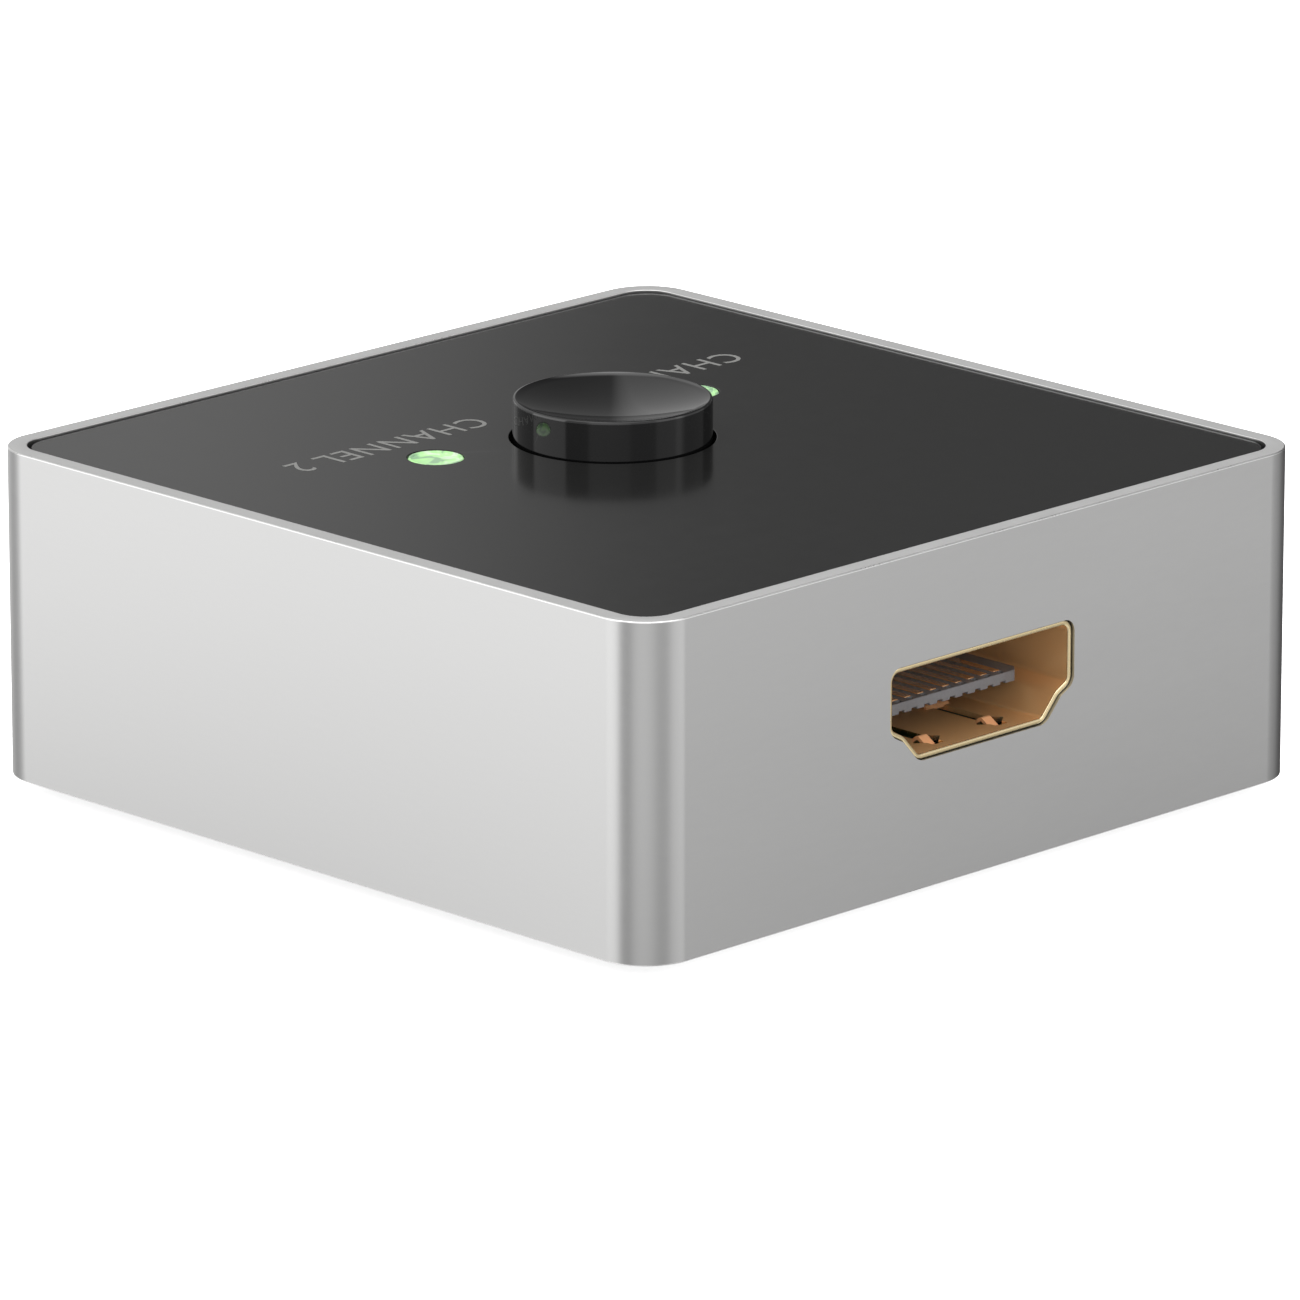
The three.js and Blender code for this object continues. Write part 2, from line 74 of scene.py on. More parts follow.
def addCamera():
    back = directionFrom(viewPoint["azimuth"], viewPoint["elevation"])
    right = (-back).cross(Vector((0, 0, 1))).normalized()
    aim = Vector((0, 0, viewPoint["aimHeight"])) + right * viewPoint["aimRight"]
    lensData = bpy.data.cameras.new("view_camera")
    lensData.lens = viewPoint["lens"]
    lensData.sensor_width = 36
    lensData.clip_start = 0.01
    lensData.clip_end = 30
    camera = bpy.data.objects.new("view_camera", lensData)
    camera.location = (aim + back * viewPoint["distance"]) * 0.001
    camera.rotation_euler = back.to_track_quat("Z", "Y").to_euler()
    bpy.context.scene.collection.objects.link(camera)
    bpy.context.scene.camera = camera


softbox = {"azimuth": 135, "elevation": 84, "distance": 0.9, "size": 1.1, "watts": 4.2}  # degrees, metres


def addSoftbox():
    back = directionFrom(softbox["azimuth"], softbox["elevation"])
    addCard("overhead", back * softbox["distance"], back, softbox["size"], softbox["watts"])


def addCard(name, location, facing, size, watts, glossy=True):
    lamp = bpy.data.lights.new(name, "AREA")
    lamp.shape = "RECTANGLE"
    lamp.size, lamp.size_y, lamp.energy = size, size, watts
    card = bpy.data.objects.new(name, lamp)
    card.location = location
    card.rotation_euler = facing.to_track_quat("Z", "Y").to_euler()
    card.visible_camera, card.visible_glossy = False, glossy
    bpy.context.scene.collection.objects.link(card)


studio = {
    # degrees round the box, 0 to the viewer's left, 90 the near side, 180 to the right: brightness
    "round": {-180: 0.84, -173: 0.56, -160: 0.5, -145: 0.42, -138: 0.14, -89.6: 0.16, -87.8: 0.49,
              -74: 0.49, -66: 1.0, -54: 1.0, -50: 0.62, -15: 0.62, -11: 1.7, 33: 1.68, 36: 0.56, 60: 0.58,
              66: 0.98, 108: 0.88, 113: 0.67, 138: 0.66, 144: 1.06, 166: 1.12, 171: 1.5, 177: 1.1, 180: 0.84},
    "turn": 45, "curveTop": 2.0, "tone": (1, 0.998, 0.994, 1),
    "zenith": 1.7, "zenithFrom": 0.7, "zenithFull": 0.92,
}


def addStudioSky():
    world = bpy.data.worlds.new("studio")
    bpy.context.scene.world = world
    world.use_nodes = True
    nodes, links = world.node_tree.nodes, world.node_tree.links
    nodes.clear()
    place = nodes.new("ShaderNodeTexCoord")
    facing = nodes.new("ShaderNodeVectorRotate")
    facing.rotation_type = "Z_AXIS"
    facing.inputs["Angle"].default_value = math.radians(studio["turn"])
    links.new(place.outputs["Generated"], facing.inputs["Vector"])
    split = nodes.new("ShaderNodeSeparateXYZ")
    links.new(facing.outputs[0], split.inputs[0])
    around = nodes.new("ShaderNodeMath")
    around.operation = "ARCTAN2"
    links.new(split.outputs["Y"], around.inputs[0])
    links.new(split.outputs["X"], around.inputs[1])
    share = nodes.new("ShaderNodeMapRange")
    share.inputs["From Min"].default_value, share.inputs["From Max"].default_value = -math.pi, math.pi
    links.new(around.outputs[0], share.inputs["Value"])
    glow = nodes.new("ShaderNodeFloatCurve")
    curve = glow.mapping.curves[0]
    top = studio["curveTop"]
    stops = sorted(studio["round"].items())
    curve.points[0].location = (0, stops[0][1] / top)
    curve.points[1].location = (1, stops[-1][1] / top)
    for degrees, value in stops[1:-1]:
        curve.points.new((degrees + 180) / 360, value / top)
    glow.mapping.update()
    links.new(share.outputs["Result"], glow.inputs["Value"])
    high = nodes.new("ShaderNodeMapRange")
    high.interpolation_type = "SMOOTHSTEP"
    high.inputs["From Min"].default_value = studio["zenithFrom"]
    high.inputs["From Max"].default_value = studio["zenithFull"]
    links.new(split.outputs["Z"], high.inputs["Value"])
    mixed = nodes.new("ShaderNodeMix")
    links.new(high.outputs["Result"], mixed.inputs["Factor"])
    links.new(glow.outputs[0], mixed.inputs["A"])
    mixed.inputs["B"].default_value = studio["zenith"] / top
    doubled = nodes.new("ShaderNodeMath")
    doubled.operation = "MULTIPLY"
    doubled.inputs[1].default_value = top
    links.new(mixed.outputs["Result"], doubled.inputs[0])
    sky = nodes.new("ShaderNodeBackground")
    sky.inputs["Color"].default_value = studio["tone"]
    links.new(doubled.outputs[0], sky.inputs["Strength"])
    out = nodes.new("ShaderNodeOutputWorld")
    links.new(sky.outputs[0], out.inputs["Surface"])


broadShare = 0.05  # the broad noise's scale, as a share of the fine noise's
grainRange = (0.6, 1.4)  # the two noises together


def grainGroup():
    group = bpy.data.node_groups.new("fine_grain", "ShaderNodeTree")
    for name, value in (("Scale", 4000), ("Stretch", 1)):
        group.interface.new_socket(name, in_out="INPUT", socket_type="NodeSocketFloat").default_value = value
    group.interface.new_socket("Height", in_out="OUTPUT", socket_type="NodeSocketFloat")
    group.interface.new_socket("Variation", in_out="OUTPUT", socket_type="NodeSocketFloat")
    nodes, links = group.nodes, group.links
    given, made = nodes.new("NodeGroupInput"), nodes.new("NodeGroupOutput")
    place = nodes.new("ShaderNodeTexCoord")
    squeeze = nodes.new("ShaderNodeCombineXYZ")
    squeeze.inputs[0].default_value = squeeze.inputs[1].default_value = 1
    links.new(given.outputs["Stretch"], squeeze.inputs[2])
    scaled = nodes.new("ShaderNodeVectorMath")
    scaled.operation = "MULTIPLY"
    links.new(place.outputs["Object"], scaled.inputs[0])
    links.new(squeeze.outputs[0], scaled.inputs[1])
    fine = nodes.new("ShaderNodeTexNoise")
    fine.inputs["Detail"].default_value = 3
    links.new(scaled.outputs[0], fine.inputs["Vector"])
    links.new(given.outputs["Scale"], fine.inputs["Scale"])
    coarse = nodes.new("ShaderNodeMath")
    coarse.operation = "MULTIPLY"
    coarse.inputs[1].default_value = broadShare
    links.new(given.outputs["Scale"], coarse.inputs[0])
    broad = nodes.new("ShaderNodeTexNoise")
    broad.inputs["Detail"].default_value = 2
    links.new(scaled.outputs[0], broad.inputs["Vector"])
    links.new(coarse.outputs[0], broad.inputs["Scale"])
    both = nodes.new("ShaderNodeMath")
    both.operation = "ADD"
    links.new(fine.outputs["Fac"], both.inputs[0])
    links.new(broad.outputs["Fac"], both.inputs[1])
    links.new(fine.outputs["Fac"], made.inputs["Height"])
    links.new(both.outputs[0], made.inputs["Variation"])
    return group


fineGrain = grainGroup()


def newFinish(name, color, roughness, metallic=0, grainScale=4000, grainStretch=1, roughSpread=0.05,
              tint=0.06, bump=0.1, bumpDepth=0.00002, **sockets):
    material = bpy.data.materials.new(name)
    material.use_nodes = True
    nodes, links = material.node_tree.nodes, material.node_tree.links
    shader = nodes["Principled BSDF"]
    shader.inputs["Metallic"].default_value = metallic
    for socket, value in sockets.items():
        shader.inputs[socket].default_value = value
    grain = nodes.new("ShaderNodeGroup")
    grain.node_tree = fineGrain
    grain.inputs["Scale"].default_value = grainScale
    grain.inputs["Stretch"].default_value = grainStretch
    rough = nodes.new("ShaderNodeMapRange")
    rough.inputs["From Min"].default_value, rough.inputs["From Max"].default_value = grainRange
    rough.inputs["To Min"].default_value = max(roughness - roughSpread, 0.02)
    rough.inputs["To Max"].default_value = roughness + roughSpread
    links.new(grain.outputs["Variation"], rough.inputs["Value"])
    links.new(rough.outputs["Result"], shader.inputs["Roughness"])
    shade = nodes.new("ShaderNodeMapRange")
    shade.inputs["From Min"].default_value, shade.inputs["From Max"].default_value = grainRange
    shade.inputs["To Min"].default_value, shade.inputs["To Max"].default_value = 1 - tint, 1 + tint
    links.new(grain.outputs["Variation"], shade.inputs["Value"])
    paint = nodes.new("ShaderNodeVectorMath")
    paint.operation = "SCALE"
    paint.inputs[0].default_value = color
    links.new(shade.outputs["Result"], paint.inputs["Scale"])
    links.new(paint.outputs[0], shader.inputs["Base Color"])
    relief = nodes.new("ShaderNodeBump")
    relief.inputs["Strength"].default_value = bump
    relief.inputs["Distance"].default_value = bumpDepth
    links.new(grain.outputs["Height"], relief.inputs["Height"])
    links.new(relief.outputs["Normal"], shader.inputs["Normal"])
    return material


table = {"half": 2.5, "glow": 0.8, "fadeFrom": 0.026, "fadeTo": 0.095, "shadeNearBox": 0.75}  # metres, shares


def addStage():
    bm = bmesh.new()
    bmesh.ops.create_grid(bm, x_segments=2, y_segments=2, size=table["half"])
    mesh = bpy.data.meshes.new("floor")
    bm.to_mesh(mesh)
    bm.free()
    floor = bpy.data.objects.new("floor", mesh)
    bpy.context.scene.collection.objects.link(floor)
    paper = newFinish("pale_paper", (0.93, 0.93, 0.93), 0.9, grainScale=900, tint=0.005, bump=0.02)
    mesh.materials.append(paper)
    nodes, links = paper.node_tree.nodes, paper.node_tree.links
    shader, out = nodes["Principled BSDF"], nodes["Material Output"]
    shader.inputs["Specular IOR Level"].default_value = 0
    rays = nodes.new("ShaderNodeLightPath")
    apart = nodes.new("ShaderNodeNewGeometry")
    length = nodes.new("ShaderNodeVectorMath")
    length.operation = "LENGTH"
    links.new(apart.outputs["Position"], length.inputs[0])
    # the see-through colour darkens towards the box: painted shade of the box's shadow on the floor, as the
    # gloss sees it
    reflectedShade = nodes.new("ShaderNodeMapRange")
    reflectedShade.inputs["From Min"].default_value = table["fadeFrom"]
    reflectedShade.inputs["From Max"].default_value = table["fadeTo"]
    reflectedShade.inputs["To Min"].default_value = table["shadeNearBox"]
    links.new(length.outputs["Value"], reflectedShade.inputs["Value"])
    clear = nodes.new("ShaderNodeBsdfTransparent")
    links.new(reflectedShade.outputs["Result"], clear.inputs["Color"])
    mixed = nodes.new("ShaderNodeMixShader")
    links.new(rays.outputs["Is Glossy Ray"], mixed.inputs["Fac"])  # gloss sees the studio below the floor
    glow = nodes.new("ShaderNodeMath")
    glow.operation = "MULTIPLY"
    glow.inputs[1].default_value = table["glow"]
    links.new(rays.outputs["Is Camera Ray"], glow.inputs[0])  # a lit table keeps the shadow faint
    links.new(glow.outputs[0], shader.inputs["Emission Strength"])
    shader.inputs["Emission Color"].default_value = (1, 1, 1, 1)
    links.new(shader.outputs[0], mixed.inputs[1])
    links.new(clear.outputs[0], mixed.inputs[2])
    links.new(mixed.outputs[0], out.inputs["Surface"])


bpy.context.scene.view_settings.view_transform = "Standard"
addCamera()
addStudioSky()
addSoftbox()
addStage()
print("stage: camera, sky and floor")

satinAluminium = newFinish("satin_aluminium", (0.512, 0.512, 0.511), 0.33, 1, grainScale=900, grainStretch=5,
                           roughSpread=0.02, tint=0.014, bump=0.12, bumpDepth=0.000006)
rimAluminium = newFinish("rim_aluminium", (0.435, 0.435, 0.433), 0.5, 0.45, grainScale=6000, tint=0.02,
                         bump=0.03)
cutAluminium = newFinish("cut_aluminium", (0.78, 0.78, 0.775), 0.3, 1, grainScale=6000, tint=0.02, bump=0.03)
blackGloss = newFinish("black_gloss", (0.006, 0.006, 0.0058), 0.135, grainScale=700, roughSpread=0.02,
                       tint=0.1, bump=0.01, bumpDepth=0.000004)
buttonGloss = newFinish("button_gloss", (0.004, 0.004, 0.0042), 0.06, grainScale=900, roughSpread=0.01,
                        tint=0.1, bump=0.01, bumpDepth=0.000002, IOR=1.7)
blackPlastic = newFinish("black_plastic", (0.022, 0.022, 0.024), 0.55, grainScale=5000, roughSpread=0.06,
                         tint=0.12, bump=0.35, bumpDepth=0.00003)
switchPlastic = newFinish("switch_plastic", (0.04, 0.04, 0.045), 0.4, grainScale=3000)
footRubber = newFinish("foot_rubber", (0.03, 0.03, 0.031), 0.75, grainScale=6000, roughSpread=0.08,
                       tint=0.15, bump=0.5, bumpDepth=0.00003)
screwSteel = newFinish("screw_steel", (0.5, 0.51, 0.52), 0.28, 1, grainScale=5000, tint=0.05, bump=0.08)
boardGreen = newFinish("board_green", (0.012, 0.1, 0.045), 0.3, grainScale=2500, tint=0.15, bump=0.15)
goldShell = newFinish("gold_shell", (0.80, 0.67, 0.42), 0.25, 1, grainScale=5000, tint=0.03, bump=0.04,
                      bumpDepth=0.000004)
# the shell's gold, darker and more orange on its inward walls: painted shade and bounce light of the socket's
# hollow
shadedGoldInside = newFinish("gold_inside_shaded", (0.74, 0.44, 0.20), 0.30, 0.62, grainScale=300, roughSpread=0.02,
                       tint=0.02, bump=0.01, bumpDepth=0.000002)
goldFace = newFinish("gold_face", (0.66, 0.54, 0.31), 0.3, 1, grainScale=5000, tint=0.03, bump=0.04)
fingerCopper = newFinish("finger_copper", (1.0, 0.55, 0.28), 0.35, 0.5, grainScale=5000, tint=0.04, bump=0.03)
contactCopper = newFinish("contact_copper", (0.75, 0.50, 0.30), 0.22, 0.85, grainScale=5000, tint=0.05,
                          bump=0.04)
socketPlastic = newFinish("socket_plastic", (0.12, 0.122, 0.130), 0.6, grainScale=9000, roughSpread=0.08,
                          tint=0.15, bump=0.2, bumpDepth=0.00001)
springSteel = newFinish("spring_steel", (0.6, 0.61, 0.62), 0.25, 1, tint=0.04, bump=0.05)
greenLens = newFinish("green_lens", (0.42, 0.86, 0.40), 0.1, grainScale=1500, tint=0.02)
ledWhite = newFinish("led_white", (0.86, 0.85, 0.78), 0.35, grainScale=3000)
chipBlack = newFinish("chip_black", (0.025, 0.025, 0.027), 0.45, grainScale=6000, tint=0.1, bump=0.2)
ceramicTan = newFinish("ceramic_tan", (0.42, 0.28, 0.16), 0.4, grainScale=5000, tint=0.1)
labelGrey = newFinish("label_grey", (0.185, 0.185, 0.18), 0.5, grainScale=6000, tint=0.05, bump=0.05)


def cloudLens(material):
    # soft clouds of white, green and grey-green in the moulded window, which glows faintly
    nodes, links = material.node_tree.nodes, material.node_tree.links
    shader = nodes["Principled BSDF"]
    place = nodes.new("ShaderNodeTexCoord")
    clouds = nodes.new("ShaderNodeTexNoise")
    clouds.inputs["Scale"].default_value, clouds.inputs["Detail"].default_value = 900, 1
    clouds.inputs["Distortion"].default_value = 1.2
    links.new(place.outputs["Object"], clouds.inputs["Vector"])
    shades = nodes.new("ShaderNodeValToRGB")
    ramp = shades.color_ramp
    ramp.elements[0].position, ramp.elements[0].color = 0.38, (0.27, 0.44, 0.27, 1)
    ramp.elements[1].position, ramp.elements[1].color = 0.62, (0.58, 0.70, 0.54, 1)
    ramp.elements.new(0.45).color = (0.40, 0.68, 0.34, 1)
    ramp.elements.new(0.53).color = (0.42, 0.80, 0.32, 1)
    links.new(clouds.outputs["Fac"], shades.inputs["Fac"])
    links.new(shades.outputs["Color"], shader.inputs["Base Color"])
    links.new(shades.outputs["Color"], shader.inputs["Emission Color"])
    shader.inputs["Emission Strength"].default_value = 0.06


cloudLens(greenLens)


def roundedSquare(bm, side, radius, height, segments):
    half = side / 2
    corners = [bm.verts.new((x * half, y * half, height)) for x, y in ((1, 1), (-1, 1), (-1, -1), (1, -1))]
    bm.faces.new(corners)
    bmesh.ops.bevel(bm, geom=corners, offset=radius, offset_type="OFFSET", segments=segments, profile=0.5,
                    affect="VERTICES", material=-1)
    return bm.faces[:]


def raised(bm, faces, height):
    out = bmesh.ops.extrude_face_region(bm, geom=faces)
    top = [v for v in out["geom"] if isinstance(v, bmesh.types.BMVert)]
    bmesh.ops.translate(bm, vec=(0, 0, height), verts=top)
    bmesh.ops.recalc_face_normals(bm, faces=bm.faces[:])


def looseObject(name, bm):
    mesh = bpy.data.meshes.new(name)
    bm.to_mesh(mesh)
    bm.free()
    piece = bpy.data.objects.new(name, mesh)
    bpy.context.scene.collection.objects.link(piece)
    return piece


def settle(piece):
    bpy.context.view_layer.update()
    evaluated = piece.evaluated_get(bpy.context.evaluated_depsgraph_get())
    made = bpy.data.meshes.new_from_object(evaluated)
    piece.modifiers.clear()
    worn = piece.data
    piece.data = made
    bpy.data.meshes.remove(worn)


def cutAway(piece, cutter):
    cut = piece.modifiers.new("cut", "BOOLEAN")
    cut.operation, cut.solver, cut.object = "DIFFERENCE", "EXACT", cutter
    settle(piece)
    bpy.data.objects.remove(cutter)


def softenEdges(piece, width, segments, angle):
    soften = piece.modifiers.new("soften", "BEVEL")
    soften.width, soften.segments = width, segments
    soften.limit_method, soften.angle_limit = "ANGLE", math.radians(angle)
    soften.use_clamp_overlap = False
    settle(piece)


def finish(piece, materials, stands=(), body="housing", smoothAngle=35):
    piece.data.transform(toMetres)
    chosen = [polygon.material_index for polygon in piece.data.polygons]
    piece.data.materials.clear()
    for material in materials:
        piece.data.materials.append(material)
    piece.data.polygons.foreach_set("material_index", chosen)
    piece.data.shade_smooth()
    piece.data.set_sharp_from_angle(angle=math.radians(smoothAngle))
    even = piece.modifiers.new("even", "WEIGHTED_NORMAL")
    even.keep_sharp = True
    settle(piece)
    if stands:
        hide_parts(*stands)
    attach(piece, body)


def turned(name, profile, centre, steps):
    bm = bmesh.new()
    points = [bm.verts.new((radius, 0, height)) for radius, height in profile]
    edges = [bm.edges.new(pair) for pair in zip(points, points[1:])]
    bmesh.ops.spin(bm, geom=points + edges, cent=(0, 0, 0), axis=(0, 0, 1), angle=math.tau, steps=steps,
                   use_merge=True)
    bmesh.ops.remove_doubles(bm, verts=bm.verts[:], dist=0.0005)
    bmesh.ops.recalc_face_normals(bm, faces=bm.faces[:])
    bmesh.ops.translate(bm, vec=(centre[0], centre[1], 0), verts=bm.verts[:])
    return looseObject(name, bm)


def plug(radius, low, high, centre, sides):
    bm = bmesh.new()
    place = Matrix.Translation((centre[0], centre[1], (low + high) / 2))
    bmesh.ops.create_cone(bm, cap_ends=True, segments=sides, radius1=radius, radius2=radius, depth=high - low,
                          matrix=place)
    return looseObject("plug", bm)


def blocks(name, boxes):
    bm = bmesh.new()
    for low, high in boxes:
        size = Vector(high) - Vector(low)
        place = Matrix.Translation((Vector(low) + Vector(high)) / 2) @ Matrix.Diagonal((*size, 1))
        bmesh.ops.create_cube(bm, size=1, matrix=place)
    return looseObject(name, bm)


socket = {
    "floorHalf": 4.86, "shoulder": (6.0, 1.27), "sideHalf": 6.92, "sideEnd": 1.76, "height": 4.93,
    "radii": (0.15, 0.2, 0.2, 0.5), "radiusGrowth": 0.8, "leastRadius": 0.03,
    "sheet": 0.29, "gap": 0.04, "lip": 0.1, "lipDepth": 0.12, "openBack": (0.2, 9.6, 1.2), "cutDepth": 12,
}


def mouthLoop(bm, grow, segments=6):
    side = [(socket["floorHalf"], 0), socket["shoulder"], (socket["sideHalf"], socket["sideEnd"]),
            (socket["sideHalf"], socket["height"])]
    right = [(x, y, radius) for (x, y), radius in zip(side, socket["radii"])]
    points = right + [(-x, y, radius) for x, y, radius in reversed(right)]
    there = set(bm.faces)
    made = []
    for i, (x, y, radius) in enumerate(points):
        before = Vector(points[i][:2]) - Vector(points[i - 1][:2])
        after = Vector(points[(i + 1) % len(points)][:2]) - Vector(points[i][:2])
        before.normalize()
        after.normalize()
        out = Vector((before.y + after.y, -before.x - after.x)).normalized()
        reach = grow / math.sqrt((1 + before.dot(after)) / 2)
        turn = 1 if before.cross(after) > 0 else -1
        rounding = max(radius + turn * grow * socket["radiusGrowth"], socket["leastRadius"])
        made.append((bm.verts.new((x + out.x * reach, 0, y + out.y * reach)), rounding))
    bm.faces.new([vertex for vertex, radius in made])
    for vertex, radius in made:
        bmesh.ops.bevel(bm, geom=[vertex], offset=radius, offset_type="OFFSET", segments=segments,
                        profile=0.5, affect="VERTICES", material=-1)
    return next(face for face in bm.faces if face not in there)


def mouthPrism(name, grow, front, back, segments=6):
    bm = bmesh.new()
    mouthLoop(bm, grow, segments)
    bmesh.ops.translate(bm, vec=(0, -front, 0), verts=bm.verts[:])
    out = bmesh.ops.extrude_face_region(bm, geom=bm.faces[:])
    far = [v for v in out["geom"] if isinstance(v, bmesh.types.BMVert)]
    bmesh.ops.translate(bm, vec=(0, front - back, 0), verts=far)
    bmesh.ops.recalc_face_normals(bm, faces=bm.faces[:])
    return looseObject(name, bm)


def socketPlaces():
    places = {}
    for name in ("output", "input_1", "input_2"):
        low, high = cadBox(f"{name}_socket_insulator")
        shellLow, shellHigh = cadBox(f"{name}_socket_shell")
        turn = 0 if name == "output" else math.pi
        mouthY = shellHigh.y if turn == 0 else shellLow.y
        floor = shellHigh.z - socket["sheet"] - socket["height"]
        middle = ((low.x + high.x) / 2, mouthY, floor)
        places[name] = Matrix.Translation(middle) @ Matrix.Rotation(turn, 4, "Z")
    return places


places = socketPlaces()

case = {"corner": 3.0, "wall": 1.1, "chamfer": 0.08, "innerEdge": 0.03,
        "plateCorner": 2.12, "plateEdge": 0.04}


def makeSleeve():
    low, high = cadBox("housing_sleeve")
    bm = bmesh.new()
    face = roundedSquare(bm, high.x - low.x, case["corner"], low.z, 24)
    bmesh.ops.inset_region(bm, faces=face, thickness=case["wall"], use_even_offset=True, use_boundary=True)
    middle = max(bm.faces, key=lambda f: f.calc_area())
    bmesh.ops.delete(bm, geom=[middle], context="FACES_ONLY")
    raised(bm, bm.faces[:], high.z - low.z)
    rims = [e for e in bm.edges if e.is_manifold and e.calc_face_angle() > 1]
    half = (high.x - low.x) / 2 - case["wall"] + 0.01
    inner = [e for e in rims if all(max(abs(v.co.x), abs(v.co.y)) < half for v in e.verts)]
    outer = [e for e in rims if e not in inner]
    for edges, width in ((outer, case["chamfer"]), (inner, case["innerEdge"])):
        bmesh.ops.bevel(bm, geom=edges, offset=width, offset_type="OFFSET", segments=3, profile=0.5,
                        affect="EDGES", material=1)
    for face in bm.faces:
        if face.normal.z > 0.99:
            face.material_index = 2
    piece = looseObject("housing_body", bm)
    reach = case["wall"] + 1
    for place in places.values():
        cutter = mouthPrism("cutter", socket["sheet"] + socket["gap"], -reach, reach, 8)
        cutter.data.transform(place)
        cutAway(piece, cutter)
    finish(piece, [satinAluminium, cutAluminium, rimAluminium],
           stands=["housing_sleeve"])


def makeTopPlate():
    low, high = cadBox("top_plate")
    bm = bmesh.new()
    faces = roundedSquare(bm, high.x - low.x, case["plateCorner"], low.z, 24)
    raised(bm, faces, high.z - low.z)
    piece = looseObject("top_panel", bm)
    cutAway(piece, plug(button["hole"], low.z - 1, high.z + 1, cadMiddle("button_cap"), 128))
    for number in (1, 2):
        cutAway(piece, plug(light["hole"], low.z - 1, high.z + 1, cadMiddle(f"light_pipe_{number}"), 64))
    softenEdges(piece, case["plateEdge"], 2, 50)
    finish(piece, [blackGloss], stands=["top_plate"])


button = {"radius": 5.6, "hole": 5.81, "dish": 0.75, "dishDrop": 0.06, "dishSteps": 14, "ring": 0.26,
          "edge": 0.17, "edgeIn": 0.05, "flange": 0.8, "flangeRadius": 6.6, "wall": 1.1, "roof": 2.4}


def makeButton():
    low, high = cadBox("button_cap")
    top, radius, steps = high.z, button["radius"], button["dishSteps"]
    dishRadius = radius - button["ring"]
    dishTop = top - button["dishDrop"]
    dish = [(dishRadius * i / steps, dishTop - button["dish"] * (1 - (i / steps) ** 2))
            for i in range(steps + 1)]
    edge, edgeIn = button["edge"], button["edgeIn"]
    rim = [(radius - edge, top), (radius - edgeIn, top - edgeIn), (radius, top - edge)]
    flange, flangeRadius, inside = low.z + button["flange"], button["flangeRadius"], radius - button["wall"]
    skirt = [(radius, flange), (flangeRadius, flange), (flangeRadius, low.z), (inside, low.z),
             (inside, top - button["roof"]), (0, top - button["roof"])]
    piece = turned("push_button", dish + rim + skirt, cadMiddle("button_cap"), 144)
    softenEdges(piece, 0.04, 2, 50)
    finish(piece, [buttonGloss], stands=["button_cap"], body="button", smoothAngle=28)


light = {"hole": 1.6, "radius": 1.56, "rim": 0.2, "drop": 0.10, "dip": 0.16, "dipShare": 0.45, "edge": 0.05,
         "edgeDrop": 0.06, "collar": 2.2, "collarFrom": 8.3, "collarTo": 9.0}


def makeLights():
    for number in (1, 2):
        low, high = cadBox(f"light_pipe_{number}")
        top, radius, edge = high.z, light["radius"], light["edge"]
        inner = radius - light["rim"]
        window = [(0, top - light["drop"]), (inner * light["dipShare"], top - light["dip"]),
                  (inner, top - light["drop"]), (inner + edge, top), (radius - edge, top)]
        collarLow, collarHigh = low.z + light["collarFrom"], low.z + light["collarTo"]
        stem = [(radius, top - light["edgeDrop"]), (radius, collarHigh), (light["collar"], collarHigh),
                (light["collar"], collarLow), (radius, collarLow), (radius, low.z), (0, low.z)]
        piece = turned(f"light_window_{number}", window + stem, cadMiddle(f"light_pipe_{number}"), 48)
        finish(piece, [greenLens], stands=[f"light_pipe_{number}"], smoothAngle=25)


labels = {"capHeight": 1.97, "capShare": 0.73, "width": 14.5, "spacing": 1.1, "raise": 0.006,
          "baseline": -11.35, "places": {"CHANNEL 1": -10.2, "CHANNEL 2": 9.85}}


def makeLabels():
    panelTop = cadBox("top_plate")[1].z
    for words, x in labels["places"].items():
        letters = bpy.data.curves.new("letters", "FONT")
        letters.body = words
        letters.align_x = "CENTER"
        letters.size = labels["capHeight"] / labels["capShare"]
        letters.space_character = labels["spacing"]
        letters.extrude = labels["raise"]
        letters.resolution_u = 4
        written = bpy.data.objects.new("letters", letters)
        bpy.context.scene.collection.objects.link(written)
        bpy.context.view_layer.update()
        mesh = bpy.data.meshes.new_from_object(written.evaluated_get(bpy.context.evaluated_depsgraph_get()))
        bpy.data.objects.remove(written)
        piece = bpy.data.objects.new("label_" + words.lower().replace(" ", "_"), mesh)
        bpy.context.scene.collection.objects.link(piece)
        across = [v.co.x for v in mesh.vertices]
        wide = max(across) - min(across)
        mesh.transform(Matrix.Diagonal((labels["width"] / wide, 1, 1, 1)))
        mesh.transform(Matrix.Translation((x, labels["baseline"], panelTop + labels["raise"])))
        finish(piece, [labelGrey])


finger = {"x": 2.5, "half": 0.34, "sheet": 0.2, "slot": 0.45, "slotEnds": (-6.2, -1.9), "wing": 1.05,
          "notch": (-0.75, -1.2, -1.65, -2.35),
          "line": [(6.1, -0.5), (5.45, -0.95), (3.4, -0.95), (2.07, 0.1), (1.4, -0.32)],
          "tab": 0.9, "tabSheet": 0.12, "tabLine": [(5.55, -0.08), (5.8, 0.12), (6.3, 0.08)]}
tongue = {"half": 5.9, "low": 1.48, "high": 2.12, "front": 2.58, "back": 8.2, "chamfer": 0.5, "edge": 0.03,
          "groove": 0.2, "lowGroove": 0.15, "lowGrooveHalf": 0.21, "start": 0.5, "lip": 0.09,
          "pocket": 0.3, "pocketHalf": 0.2, "pocketDeep": 0.35, "block": (8.0, 9.6), "blockInset": 0.08}
